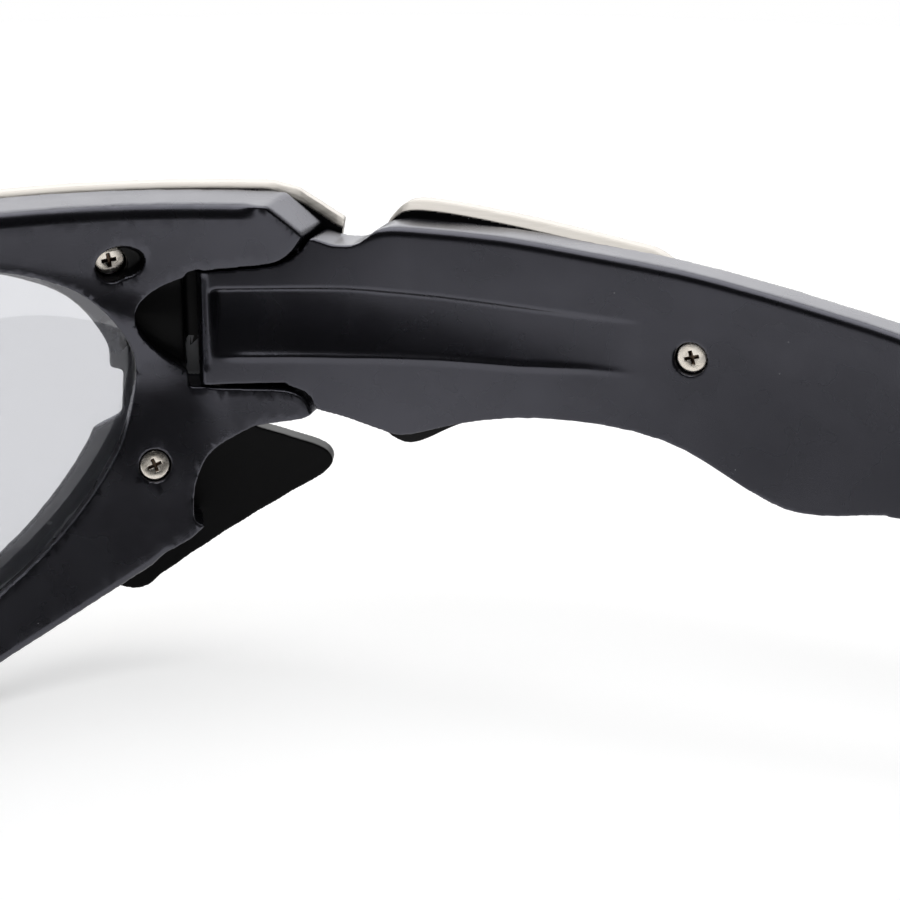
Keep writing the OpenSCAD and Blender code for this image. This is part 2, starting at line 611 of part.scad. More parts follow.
// The arm's end, thinner all round by an inset
module arm_core(inset) {
    intersection() {
        arm_slab(0, inset, 1, -inset);
        from_side(grow(tail_outline, -inset));
    }
}
module behind(y) {
    translate([-front_r * 2, y, -front_r]) cube([front_r * 2, arm_len, front_r * 2]);
}
sock_y = tip_y - sock_len;

// Knuckle: a barrel round the hinge axis, squared on its inner side, and the tongue behind it
module knuckle() {
    front_a = hinge_a - deg(barrel_r);
    outer = hinge_r + barrel_r * 0.9;
    function at(r, a) = spot(-wrap_x, wrap_y, r, a);
    intersection() {
        from_side(tongue_outline);
        translate([0, 0, slot_low - over])
        linear_extrude(slot_h + over * 3) {
            translate([hinge_x, hinge_y]) circle(r = barrel_r, $fn = 48);
            polygon(concat(
                [at(arm_face_r + nib, front_a), at(arm_face_r + nib * 0.3, front_a + deg(nib * 0.3))],
                [at(arm_face_r, front_a + deg(nib))],
                [for (k = [0 : 5]) at(arm_face_r, hinge_a + k * wrap_step)],
                [for (k = [5 : -1 : 0]) at(outer, hinge_a + k * wrap_step)],
                [at(hinge_r, hinge_a), at(hinge_r, front_a)]));
        }
    }
}

// Sloping groove in the inner face, deepest along its lower edge, in two parts. The far one is a
// hair lower and narrower than the near one, so that no faces of the two lie in one plane.
module channel() {
    far_a = acos((long_y - root_y - arm_back(channel_end_share)) / arm_r);
    join_a = deg(unit_len / 2);   // the two parts overlap by this much
    module wedge(less) {
        polygon([[-over, channel_low + less], [channel_d, channel_low + less],
            [channel_d * 0.3, channel_top - less], [-over, channel_top - less]]);
    }
    translate([-wrap_x, wrap_y, 0]) rotate([0, 0, 270 - bend_a - join_a])
    rotate_extrude(angle = bend_a + join_a - channel_start, $fn = 96)
    translate([arm_face_r, 0]) wedge(0);
    fade = channel_d / (arm_r * sin(far_a - bend_a)); // the far part runs out of the face
    translate([bend_x, bend_y, 0]) rotate([0, 0, -asin(fade)]) translate([-bend_x, -bend_y, 0])
    translate([long_x, long_y, 0]) rotate([0, 0, 270 - far_a])
    rotate_extrude(angle = far_a - bend_a, $fn = 96)
    translate([arm_r, 0]) wedge(unit_len / 16);
}

module arm() {
    seat = arm_sink + head_h;
    color(black) difference() {
        union() {
            knuckle();
            difference() {
                arm_body();
                behind(sock_y);
            }
            intersection() {
                arm_core(sock_t);
                behind(sock_y - over);
            }
        }
        channel();
        translate([hinge_x, hinge_y, slot_low - over])
        cylinder(r = pin_r + knuckle_fit, h = slot_h + over * 2, $fn = 48);
        on_arm(arm_screw_share, arm_screw_z, seat) screw_cut(seat);
    }
}

module arm_plate() {
    color(nickel) difference() {
        intersection() {
            arm_slab(1, plate_gap, 1, plate_gap + plate_t);
            from_side(arm_plate_outline);
        }
        on_arm(arm_screw_share, arm_screw_z, arm_t + plate_gap + plate_t * tap_share - arm_sink / 2)
        cylinder(r = shank_r + thread_fit, h = plate_t * 2, $fn = 32);
    }
}

module arm_plate_screw() {
    seat = arm_sink + head_h;
    color(steel) on_arm(arm_screw_share, arm_screw_z, seat)
    screw(arm_t - seat - arm_sink / 2 + plate_gap + plate_t * tap_share * 0.8);
}

module ear_sock() {
    color(rubber) difference() {
        intersection() {
            arm_body();
            behind(sock_y + plate_gap);
        }
        intersection() {
            arm_core(sock_t - plate_gap);
            behind(sock_y - over);
        }
    }
}

front_frame();
placed() lens();  // lens_right
placed() left_side() lens();  // lens_left
placed() brow_plate();  // brow_plate_right
placed() left_side() brow_plate();  // brow_plate_left
placed() brow_screw(upper_screw, upper_sink);  // brow_screw_upper_right
placed() left_side() brow_screw(upper_screw, upper_sink);  // brow_screw_upper_left
placed() brow_screw(lower_screw, lower_sink);  // brow_screw_lower_right
placed() left_side() brow_screw(lower_screw, lower_sink);  // brow_screw_lower_left
placed() hinge_screw();  // hinge_screw_right
placed() left_side() hinge_screw();  // hinge_screw_left
placed() nose_pad();  // nose_pad_right
placed() left_side() nose_pad();  // nose_pad_left
placed() arm();  // arm_right
placed() left_side() arm();  // arm_left
placed() arm_plate();  // arm_plate_right
placed() left_side() arm_plate();  // arm_plate_left
placed() arm_plate_screw();  // arm_plate_screw_right
placed() left_side() arm_plate_screw();  // arm_plate_screw_left
placed() ear_sock();  // ear_sock_right
placed() left_side() ear_sock();  // ear_sock_left
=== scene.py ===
# %% [markdown]
# # Wraparound sunglasses
# A full-rim pair seen from behind the wearer's right hinge. The CAD model gives every size and place.
# This notebook eases its edges, gives each part its finish, and lights it as a small studio would.

# %% Load the CAD model as the fixed frame
import math

import bpy
import numpy as np
from mathutils import Matrix, Vector


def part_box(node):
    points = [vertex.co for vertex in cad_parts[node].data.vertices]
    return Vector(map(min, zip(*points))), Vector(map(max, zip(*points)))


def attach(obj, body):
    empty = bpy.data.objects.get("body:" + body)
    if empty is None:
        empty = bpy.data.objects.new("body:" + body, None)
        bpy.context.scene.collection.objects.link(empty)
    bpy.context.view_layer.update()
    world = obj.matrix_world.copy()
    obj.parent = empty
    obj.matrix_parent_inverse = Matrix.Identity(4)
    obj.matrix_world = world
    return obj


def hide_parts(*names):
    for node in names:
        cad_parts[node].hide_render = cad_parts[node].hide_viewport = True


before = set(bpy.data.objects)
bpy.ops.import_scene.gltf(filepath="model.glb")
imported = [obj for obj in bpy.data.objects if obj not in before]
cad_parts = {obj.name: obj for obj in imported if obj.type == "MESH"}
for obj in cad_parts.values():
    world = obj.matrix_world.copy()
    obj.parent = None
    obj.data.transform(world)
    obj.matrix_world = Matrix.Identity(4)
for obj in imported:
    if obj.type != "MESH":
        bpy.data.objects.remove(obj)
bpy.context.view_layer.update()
MM = 0.001
print("CAD nodes:", len(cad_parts))

# %% [markdown]
# ## Camera
# The photograph is a close view from inside, 20 degrees above the table. A long lens about 23 cm away
# keeps the far rim nearly as large as the near one, as a macro lens does.

# %% Camera
CAMERA_AT = Vector((141.33, 64.86, 100.34)) * MM
LOOKS_AT = Vector((-61.76, -9.06, 21.67)) * MM
bpy.ops.object.camera_add(location=CAMERA_AT)
camera = bpy.context.object
camera.rotation_euler = (LOOKS_AT - CAMERA_AT).to_track_quat("-Z", "Y").to_euler()
camera.data.lens = 101.2
camera.data.sensor_width = 36
camera.data.clip_start = 0.01
bpy.context.scene.camera = camera
bpy.context.scene.view_settings.view_transform = "Standard"
print("camera is", round((LOOKS_AT - CAMERA_AT).length * 1000), "mm from the hinge")


# %% [markdown]
# ## Small helpers
# An operator works on everything that is selected, so each step starts by picking just one piece.
# Points are read and written as one array, which is far quicker than one at a time.

# %% Helpers for picking and for points
def pick(*pieces):
    """Selects only these objects, the last one active."""
    if bpy.context.object and bpy.context.object.mode != "OBJECT":
        bpy.ops.object.mode_set(mode="OBJECT")
    bpy.ops.object.select_all(action="DESELECT")
    for piece in pieces:
        piece.select_set(True)
        bpy.context.view_layer.objects.active = piece


def points(piece):
    """All corners of a mesh, as rows of x, y and z."""
    flat = np.zeros(len(piece.data.vertices) * 3)
    piece.data.vertices.foreach_get("co", flat)
    return flat.reshape(-1, 3)


def set_points(piece, places):
    piece.data.vertices.foreach_set("co", places.ravel())
    piece.data.update()


def apply(piece, kind, **settings):
    """Adds a modifier and applies it at once."""
    pick(piece)
    step = piece.modifiers.new(kind.lower(), kind)
    for name, value in settings.items():
        setattr(step, name, value)
    bpy.ops.object.modifier_apply(modifier=step.name)


# %% [markdown]
# ## The true curves
# The front's faces are parts of a barrel-like surface round a centre on each side, and the arms follow
# the same wrap and then a long, nearly straight curve. The CAD model holds them as flat facets, so points
# that lie near a face are settled on its true curve. Reflections then run smoothly over it.

# %% The wrap and the arm's curve, in metres
LIFT = 23.0056 * MM                  # the resting plane lies this far under the lens middle
BACK = 63.9385 * MM                  # the origin lies this far behind the model's own
WRAP_X, WRAP_Y = 8 * MM, 60 * MM - BACK
BARREL, BULGE_Z = 90 * MM, 6 * MM + LIFT
FRONT_IN, FRONT_OUT = 55 * MM, 60 * MM
ARM_WRAP, ARM_LONG, BEND = 55.1 * MM, 180 * MM, math.radians(80)
LONG_X = -(WRAP_X + ARM_WRAP * math.sin(BEND)) + ARM_LONG * math.sin(BEND)
LONG_Y = WRAP_Y - ARM_WRAP * math.cos(BEND) + ARM_LONG * math.cos(BEND)
TIP_Y = 127.877 * MM - BACK
TIP = math.acos((LONG_Y - TIP_Y) / ARM_LONG)
ARM_T, ARM_TIP_T, PLATE_T, PLATE_GAP = 3.9 * MM, 3.3 * MM, 2 * MM, 0.05 * MM


def ease(value, start, end):
    """0 before start, 1 after end, and a soft S between them."""
    share = np.clip((value - start) / (end - start), 0, 1)
    return share * share * (3 - 2 * share)


def nearness(off, reach):
    """1 for points within half the reach of a face, fading to 0 at the reach."""
    return 1 - ease(np.abs(off), reach / 2, reach)


class OnFront:
    """Each point's depth behind the front's inner face, and its place along and up that face."""

    def __init__(self, piece):
        self.piece, self.p = piece, points(piece)
        self.side = np.where(self.p[:, 0] < 0, -1.0, 1.0)
        self.across, self.ahead = np.abs(self.p[:, 0]) - WRAP_X, WRAP_Y - self.p[:, 1]
        self.far = np.hypot(self.across, self.ahead)
        drop = BARREL - np.sqrt(BARREL**2 - (self.p[:, 2] - BULGE_Z) ** 2)
        self.inner = FRONT_IN - drop
        self.wall = np.full(len(self.p), FRONT_OUT - FRONT_IN)
        self.along = FRONT_IN * np.arctan2(self.across, self.ahead)
        self.up, self.depth = self.p[:, 2], self.far - self.inner

    def write(self):
        scale = (self.inner + self.depth) / self.far
        self.p[:, 0] = self.side * (WRAP_X + self.across * scale)
        self.p[:, 1] = WRAP_Y - self.ahead * scale
        set_points(self.piece, self.p)


class OnArm:
    """The same for an arm, whose place along is its distance back from the origin."""

    def __init__(self, piece):
        self.piece, self.p = piece, points(piece)
        self.side = np.where(self.p[:, 0] < 0, -1.0, 1.0)
        x = -np.abs(self.p[:, 0])
        on_wrap = np.arctan2(-WRAP_X - x, WRAP_Y - self.p[:, 1]) < BEND
        self.centre_x = np.where(on_wrap, -WRAP_X, LONG_X)
        self.centre_y = np.where(on_wrap, WRAP_Y, LONG_Y)
        self.across, self.ahead = self.centre_x - x, self.centre_y - self.p[:, 1]
        self.far = np.hypot(self.across, self.ahead)
        self.inner = np.where(on_wrap, ARM_WRAP, ARM_LONG)
        turn = np.arctan2(self.across, self.ahead)
        self.wall = ARM_T + (ARM_TIP_T - ARM_T) * np.clip((turn - BEND) / (TIP - BEND), 0, None)
        self.along, self.up, self.depth = self.p[:, 1].copy(), self.p[:, 2], self.far - self.inner

    def write(self):
        scale = (self.inner + self.depth) / self.far
        self.p[:, 0] = -self.side * (self.centre_x - self.across * scale)
        self.p[:, 1] = self.centre_y - self.ahead * scale
        set_points(self.piece, self.p)


def settle(places, depths, reach):
    """Moves points near a face onto its true curve. A depth is [share of the wall, plus a length]."""
    was = places.depth.copy()
    for share, more in depths:
        off = share * places.wall + more - was
        places.depth += off * nearness(off, reach)
    places.write()


def press(places, how_deep):
    """Presses the inner face in by a length at each point. The outer face stays, and the wall between follows."""
    share = 1 - np.clip(places.depth / places.wall, 0, 1)
    places.depth += how_deep * share
    places.write()


# %% [markdown]
# ## Eased copies of the moulded parts
# A moulded edge is never sharp: it has a small radius that catches the light. A copy of the CAD mesh is
# merged, remeshed with even small squares and smoothed a little, which rounds its edges alike. The small
# squares keep a long edge straight.

# %% A copy with eased edges
def eased_copy(node, name, square, rounds, first=None):
    """Squares are in millimetres, rounds count the smoothing, and first is done before the remesh."""
    piece = bpy.data.objects.new(name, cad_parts[node].data.copy())
    bpy.context.scene.collection.objects.link(piece)
    piece.data.name = name
    piece.data.materials.clear()
    pick(piece)
    bpy.ops.object.mode_set(mode="EDIT")
    bpy.ops.mesh.select_all(action="SELECT")
    bpy.ops.mesh.remove_doubles(threshold=0.001 * MM)
    bpy.ops.object.mode_set(mode="OBJECT")
    if first:
        first(piece)
    apply(piece, "REMESH", mode="VOXEL", voxel_size=square * MM)
    apply(piece, "SMOOTH", factor=0.5, iterations=rounds)
    pick(piece)
    bpy.ops.object.shade_smooth()
    return piece


# %% [markdown]
# Flat parts don't need so many squares, so each finished mesh is thinned. A light smoothing first takes the
# remesh's small steps off the rounded edges. The normals are then weighted by area: the large flat faces
# decide them, and all the turning of the light stays on the small rounded edges.

# %% Thinning a finished mesh
def thinned(piece, most):
    """Thins a mesh of squares to at most this many triangles."""
    made = len(piece.data.polygons)
    apply(piece, "SMOOTH", factor=0.5, iterations=4)
    apply(piece, "DECIMATE", ratio=min(1, most / (made * 2)))
    apply(piece, "WEIGHTED_NORMAL", mode="FACE_AREA_WITH_ANGLE")
    print(piece.name, made, "squares,", len(piece.data.polygons), "faces kept")


# %% [markdown]
# The left half is the right one mirrored, so each side's piece is made once. A mirrored mesh is inside
# out, and its normals are recalculated.

# %% A mirrored copy
def mirrored(piece, name):
    pick(piece)
    bpy.ops.object.duplicate()
    other = bpy.context.object
    other.name = other.data.name = name
    places = points(other)
    places[:, 0] *= -1
    set_points(other, places)
    bpy.ops.object.mode_set(mode="EDIT")
    bpy.ops.mesh.select_all(action="SELECT")
    bpy.ops.mesh.normals_make_consistent(inside=False)
    bpy.ops.object.mode_set(mode="OBJECT")
    return other


def carry(piece, node, body):
    """Lets a piece stand for a CAD node and ride on its body."""
    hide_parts(node)
    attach(piece, body)
    print(piece.name, "stands for", node, "on", body)


# %% [markdown]
# ## Moulded nylon
# The front and the arms are black nylon with a fine, even matte grain and a few specks of dust.
# The grain is a bump far finer than a millimetre. Roughness varies slightly, as on a handled part. The nylon
# has a harder, cooler shine than the rubber, which comes from its IOR and its specular tint.

# %% Node helpers for the finishes
def finish(name):
    """A new material, with its nodes, its shader and the place on the piece."""
    print("finish:", name)
    made = bpy.data.materials.new(name)
    made.use_nodes = True
    nodes, links = made.node_tree.nodes, made.node_tree.links
    shader = nodes["Principled BSDF"]
    place = nodes.new("ShaderNodeTexCoord")
    return made, nodes, links, shader, place.outputs["Object"]


def noise(nodes, links, place, size, detail=3.0, stretch=None):
    """A noise whose patches are about size millimetres across, stretched by a mapping if asked."""
    if stretch:
        mapping = nodes.new("ShaderNodeMapping")
        mapping.inputs["Scale"].default_value = stretch
        links.new(place, mapping.inputs["Vector"])
        place = mapping.outputs["Vector"]
    made = nodes.new("ShaderNodeTexNoise")
    made.inputs["Scale"].default_value = 1 / (size * MM)
    made.inputs["Detail"].default_value = detail
    links.new(place, made.inputs["Vector"])
    return made.outputs["Fac"]


def ramp(nodes, links, value, low, high, start=0.3, end=0.7):
    """Turns a noise into a range of greys or colours."""
    made = nodes.new("ShaderNodeValToRGB")
    made.color_ramp.elements[0].position = start
    made.color_ramp.elements[1].position = end
    made.color_ramp.elements[0].color = (*low, 1) if len(low) == 3 else (low[0],) * 3 + (1,)
    made.color_ramp.elements[1].color = (*high, 1) if len(high) == 3 else (high[0],) * 3 + (1,)
    links.new(value, made.inputs["Fac"])
    return made.outputs["Color"]


def bump(nodes, links, shader, height, depth):
    """A fine relief, its depth in millimetres."""
    made = nodes.new("ShaderNodeBump")
    made.inputs["Distance"].default_value = depth * MM
    made.inputs["Strength"].default_value = 1.0
    links.new(height, made.inputs["Height"])
    links.new(made.outputs["Normal"], shader.inputs["Normal"])


# %% Moulded black nylon
def moulded_nylon(name, dark, light, rough, grain):
    """A moulded finish that drifts between two tones, with a fine grain and a few specks of dust."""
    made, nodes, links, shader, place = finish(name)
    tone = ramp(nodes, links, noise(nodes, links, place, 9, 4), dark, light)
    dust = nodes.new("ShaderNodeTexVoronoi")
    dust.inputs["Scale"].default_value = 1 / (2.6 * MM)
    links.new(place, dust.inputs["Vector"])
    speck = ramp(nodes, links, dust.outputs["Distance"], (1, 1, 1), (0, 0, 0), 0.012, 0.022)
    mix = nodes.new("ShaderNodeMix")
    mix.data_type = "RGBA"
    links.new(speck, mix.inputs["Factor"])
    links.new(tone, mix.inputs[6])
    mix.inputs[7].default_value = (0.35, 0.35, 0.36, 1)
    links.new(mix.outputs[2], shader.inputs["Base Color"])
    links.new(ramp(nodes, links, noise(nodes, links, place, 5, 3), (rough - 0.03,), (rough + 0.04,)),
              shader.inputs["Roughness"])
    bump(nodes, links, shader, noise(nodes, links, place, 0.16, 2), grain)
    shader.inputs["IOR"].default_value = 1.53
    return made


black_nylon = moulded_nylon("black_nylon", (0.0033, 0.0033, 0.0042), (0.0046, 0.0046, 0.006), 0.26, 0.004)
black_rubber = moulded_nylon("black_rubber", (0.010, 0.010, 0.011), (0.015, 0.015, 0.016), 0.58, 0.012)
nylon_sockets = black_nylon.node_tree.nodes["Principled BSDF"].inputs
nylon_sockets["IOR"].default_value = 1.88
nylon_sockets["Specular Tint"].default_value = (0.86, 0.86, 1.0, 1)

# %% [markdown]
# ## Smoke lens
# The lens is a light smoke polycarbonate with a faint mirror coat. It is see-through, takes about a third
# of the light on the way, and shows the floor and the front lip behind it.

# %% Smoke lens finish
def smoke_lens_finish():
    made, nodes, links, shader, place = finish("smoke_lens")
    tint = ramp(nodes, links, noise(nodes, links, place, 30, 2), (0.555, 0.56, 0.585), (0.565, 0.57, 0.595))
    links.new(tint, shader.inputs["Base Color"])
    shader.inputs["Roughness"].default_value = 0.0
    shader.inputs["Transmission Weight"].default_value = 1.0
    shader.inputs["IOR"].default_value = 1.58
    shader.inputs["Coat Weight"].default_value = 1.0
    shader.inputs["Coat Roughness"].default_value = 0.02
    shader.inputs["Coat IOR"].default_value = 1.7
    return made


smoke_lens = smoke_lens_finish()

# %% [markdown]
# ## Metal plates and screws
# The plates are brushed and nickel-coloured on the outside and along their edges. The side that lies against
# the nylon is painted black: painted shade for the shadow between plate and nylon. The screws are plated in a
# warmer nickel, with tarnish down in the cross. The ledge that carries the lens shows through it as a grey band:
# its black nylon is painted grey there, a painted light for the light that reaches it through the lens.

# %% Brushed nickel, its painted-shade black back, screw plating and the lens ledge's painted light
def brushed_metal(name, low, high, rough, stretch, size=0.22, relief=0.002):
    """Bare metal with fine lines, which run the way that the noise is stretched."""
    made, nodes, links, shader, place = finish(name)
    lines = noise(nodes, links, place, size, 4, stretch)
    links.new(ramp(nodes, links, lines, low, high), shader.inputs["Base Color"])
    links.new(ramp(nodes, links, lines, (rough,), (rough + 0.1,)), shader.inputs["Roughness"])
    shader.inputs["Metallic"].default_value = 1.0
    bump(nodes, links, shader, lines, relief)
    return made


brushed_nickel = brushed_metal("brushed_nickel", (0.42, 0.397, 0.365), (0.51, 0.485, 0.45), 0.34, (0.06, 0.06, 1))
EVEN = (1, 1, 1)
warm_nickel = brushed_metal("warm_nickel", (0.86, 0.79, 0.69), (0.95, 0.89, 0.81), 0.22, EVEN, 0.7, 0.0006)
brown_tarnish = brushed_metal("brown_tarnish", (0.10, 0.07, 0.05), (0.24, 0.17, 0.12), 0.35, EVEN, 0.5, 0.001)
# painted light: the ledge's black nylon gets a grey that stands in for the light it gets through the lens
painted_lit_ledge = moulded_nylon("painted_lit_ledge", (0.26, 0.265, 0.28), (0.31, 0.315, 0.33), 0.5, 0.003)
# painted shade: a dull black with little shine for the pocket, the bore and the plates' backs in shade, and for
# the fin, where it stands in for a dark reflection
painted_shade_black = moulded_nylon("painted_shade_black", (0.003, 0.003, 0.0035), (0.004, 0.004, 0.0046), 0.38, 0.003)
painted_shade_black.node_tree.nodes["Principled BSDF"].inputs["Specular IOR Level"].default_value = 0.18

# %% [markdown]
# ## Front
# The moulded front carries both lenses, so it is one piece. Its inner and outer faces are settled on the
# wrap after the edges are eased. Its top and bottom edges are rolled over, and a roll follows the outline,
# so the outline is first read from the mesh.

# %% The outline of a face, and an edge rolled over along it
def top_line(places, start, end, near):
    """The highest near point in each half millimetre along a face, as a function of the place along it."""
    step = 0.5 * MM
    edges = np.arange(start, end, step)
    slot = np.clip(np.digitize(places.along, edges) - 1, 0, len(edges) - 1)
    highest = np.full(len(edges), -1.0)
    np.maximum.at(highest, slot[near], places.up[near])
    known = highest > 0
    middles, highest = (edges + step / 2)[known], highest[known]
    soft = np.convolve(np.pad(highest, 1, mode="edge"), [0.25, 0.5, 0.25], mode="valid")
    return lambda along: np.interp(along, middles, soft)


def bottom_line(places, start, end, near):
    """The lowest near point along a face, found in the same way."""
    flipped = places.up.copy()
    places.up = 0.1 - places.up
    line = top_line(places, start, end, near)
    places.up = flipped
    return lambda along: 0.1 - line(along)


def rolled_edge(below_top, radius):
    """How far a rounded edge falls back, at each distance below the top."""
    t = np.clip(below_top, 0, radius)
    return radius - np.sqrt(radius**2 - (radius - t) ** 2)


def within(value, start, end):
    """True between two lengths."""
    return (value > start) & (value < end)


# %% The front's rolled edges
moulded_front = eased_copy("front_frame", "moulded_front", 0.16, 18)
settle(OnFront(moulded_front), [(0, 0), (1, 0)], 0.2 * MM)
face = OnFront(moulded_front)
TOP_ROLL, LOW_ROLL = 1.6 * MM, 1.1 * MM
brow_top = top_line(face, 0, 66 * MM, within(face.depth, -0.3 * MM, 3 * MM))
rim_low = bottom_line(face, 0, 57 * MM, within(face.depth, -0.3 * MM, 2 * MM))
on_brow = 1 - ease(face.along, 62 * MM, 64 * MM)
on_rim = ease(face.along, 14 * MM, 20 * MM) * (1 - ease(face.along, 53.5 * MM, 55 * MM))
deeper = rolled_edge(brow_top(face.along) - face.up, TOP_ROLL) * on_brow
deeper += rolled_edge(face.up - rim_low(face.along), LOW_ROLL) * on_rim
print("rolled", int((deeper > 0).sum()), "points of", len(deeper))

# %% [markdown]
# The inner face isn't plain: it rises a little from a soft crease towards the lens, the lug below the
# hinge is dished, and the pocket's floor slopes. The upper screw's bore is drilled at a slant, so its mouth
# is long and dark towards the hinge. All of this is pressed in at once.

# %% The front's inner relief
RISE, LUG_DISH, POCKET_SLOPE, BORE_DEEP = 0.22 * MM, 0.6 * MM, 0.2, 1.1 * MM
CREASE_ALONG = [0, 20, 40.3, 48.4, 52.9, 56]
CREASE_UP = [40.6, 41.5, 40.6, 38.35, 36.44, 35.5]
BORE_ALONG, BORE_UP, BORE_LONG, BORE_HIGH = 51.25, 39.35, 2.15, 1.42
z = face.up / MM
rise = np.clip((np.interp(face.along / MM, CREASE_ALONG, CREASE_UP) - z) / 2.6, 0, 1) ** 1.5
deeper -= RISE * rise * (1 - ease(face.along, 54 * MM, 57.5 * MM)) * ease(z, 26, 32)
lug = ease(face.along, 48 * MM, 52 * MM) * (1 - ease(face.along, 57 * MM, 61 * MM))
deeper += LUG_DISH * lug * ease(z, 18, 28.5) * (1 - ease(z, 29.5, 34))
in_pocket = within(face.depth, 0.5 * MM, 4 * MM) & within(face.along, 52.4 * MM, 57.4 * MM) & within(z, 28, 38.6)
deeper += np.where(in_pocket, (POCKET_SLOPE * (z - 28) - 0.5) * MM, 0)
mouth = np.hypot((face.along / MM - BORE_ALONG) / BORE_LONG, (z - BORE_UP) / BORE_HIGH)
deeper += BORE_DEEP * (1 - ease(mouth, 0.9, 1.02))
press(face, deeper)
FRONT_FACES = 196000
thinned(moulded_front, FRONT_FACES)

# %% [markdown]
# The pocket and the bore get the dull black: painted shade for the deep shade inside them. The ledge behind
# the lens gets the grey: painted light for the light that reaches it through the lens. Each face is given its
# finish by its place.

# %% The front's finishes, face by face
def to_wrap(place):
    """The direction from a place to the middle of its half's wrap."""
    centre = Vector((math.copysign(WRAP_X, place.x), WRAP_Y, place.z))
    return (centre - place).normalized()


moulded_front.data.materials.append(black_nylon)
moulded_front.data.materials.append(painted_shade_black)
moulded_front.data.materials.append(painted_lit_ledge)
face = OnFront(moulded_front)
for polygon in moulded_front.data.polygons:
    corner = polygon.vertices[0]
    along, z, depth = (row[corner] / MM for row in (face.along, face.up, face.depth))
    # painted shade in the pocket and the bore, painted light on the ledge
    in_pocket = 51.5 < along < 60 and 27.6 < z < 38.8 and depth > 0.7
    in_bore = math.hypot(along - BORE_ALONG, (z - BORE_UP) * 1.5) < 2.3 and depth > 0.1
    inward = polygon.normal.dot(to_wrap(polygon.center)) > 0.6
    on_ledge = 3.7 < depth < 4.6 and z < 30 and inward
    polygon.material_index = 2 if on_ledge else 1 if in_pocket or in_bore else 0
carry(moulded_front, "front_frame", "front")

# %% [markdown]
# ## Lenses
# A lens has to be smooth above all, because every ripple shows in what is seen through it. Its two faces
# are settled on the wrap exactly, and only its hidden edge in the groove stays as the remesh leaves it.

# %% Lenses
LENS_INNER, LENS_OUTER = 1.8 * MM, 3.8 * MM
lens = eased_copy("lens_right", "smoke_lens_right", 0.3, 3)
settle(OnFront(lens), [(0, LENS_INNER), (0, LENS_OUTER)], 0.3 * MM)
lens.data.materials.append(smoke_lens)
other = mirrored(lens, "smoke_lens_left")
carry(lens, "lens_right", "front")
carry(other, "lens_left", "front")

# %% [markdown]
# ## Metal plates
# Each plate gets two finishes: faces that look back at the nylon are painted black, a painted shade for the
# shadow between plate and nylon. The inner top edge is cut off at 45 degrees and left bright, which draws the
# light line over the brow and the arm.

# %% Tools for the plates
def paint_shade_back(piece, inward, line):
    """Gives the painted-shade black to faces that look along inward and lie under the plate's top line."""
    piece.data.materials.append(brushed_nickel)
    piece.data.materials.append(painted_shade_black)
    for face in piece.data.polygons:
        under = line(face.center) - face.center.z > 0
        face.material_index = 1 if under and face.normal.dot(inward(face.center)) > 0.6 else 0


def to_middle(place):
    """Straight across, towards the wearer's head."""
    return Vector((-math.copysign(1, place.x), 0, 0))


def chamfer_top(places, line, size):
    """Cuts the plate's inner top edge off at 45 degrees."""
    below = line(places.along) - places.up
    inside = places.depth - places.wall - PLATE_GAP
    lack = np.clip(size - below - inside, 0, None) / 2
    places.depth += lack
    places.up -= lack
    places.write()


def metal(places):
    """True for a plate's own points, without the bosses that reach into the nylon."""
    return within(places.depth, places.wall, places.wall + 2.2 * MM)


# %% Brow plates
def brow_chamfer(along, more=0):
    """The chamfer grows where the plate runs down behind the hinge."""
    return (0.5 + more + 0.45 * ease(along, 64 * MM, 67.5 * MM)) * MM


plate = eased_copy("brow_plate_right", "brow_metal_right", 0.13, 5)
settle(OnFront(plate), [(1, PLATE_GAP), (1, PLATE_GAP + PLATE_T)], 0.16 * MM)
face = OnFront(plate)
brow_line = top_line(face, 0, 72 * MM, metal(face))
chamfer_top(face, brow_line, brow_chamfer(face.along))
other = mirrored(plate, "brow_metal_left")


def bare_brow(place):
    """The height down to which the plate's inner face is bare metal."""
    along = FRONT_IN * math.atan2(abs(place.x) - WRAP_X, WRAP_Y - place.y)
    return brow_line(along) - brow_chamfer(along, 0.1)


def paint_fin_shade(piece):
    """Paints the fin below the hinge black on all but its outer face, edges too: painted shade, and a painted
    dark reflection on its inner face.
    """
    for face in piece.data.polygons:
        if face.center.z < 29 * MM and face.normal.dot(to_wrap(face.center)) > -0.6:
            face.material_index = 1


for piece, side in ((plate, "right"), (other, "left")):
    thinned(piece, 90000)
    # painted shade on the plate's back and on the fin
    paint_shade_back(piece, to_wrap, bare_brow)
    paint_fin_shade(piece)
    carry(piece, f"brow_plate_{side}", "front")

# %% Arm plates
ARM_CHAMFER = 0.75 * MM
plate = eased_copy("arm_plate_right", "arm_metal_right", 0.12, 5)
settle(OnArm(plate), [(1, PLATE_GAP), (1, PLATE_GAP + PLATE_T)], 0.26 * MM)
face = OnArm(plate)
arm_line = top_line(face, -30 * MM, 30 * MM, metal(face))
chamfer_top(face, arm_line, ARM_CHAMFER)
other = mirrored(plate, "arm_metal_left")
for piece, side in ((plate, "right"), (other, "left")):
    thinned(piece, 60000)
    # painted shade on the arm plate's back
    paint_shade_back(piece, to_middle, lambda place: arm_line(place.y) - ARM_CHAMFER - 0.05 * MM)
    carry(piece, f"arm_plate_{side}", f"{side}_arm")

# %% [markdown]
# ## Arms, socks and pads
# The arms are the same nylon as the front. The socks over their tips and the nose pads are soft rubber.
# The CAD model has a plain channel along an arm. The real one is a scoop: steep under its upper crease, then
# coming out to a fine bead along its lower edge, and fading away towards the tip.

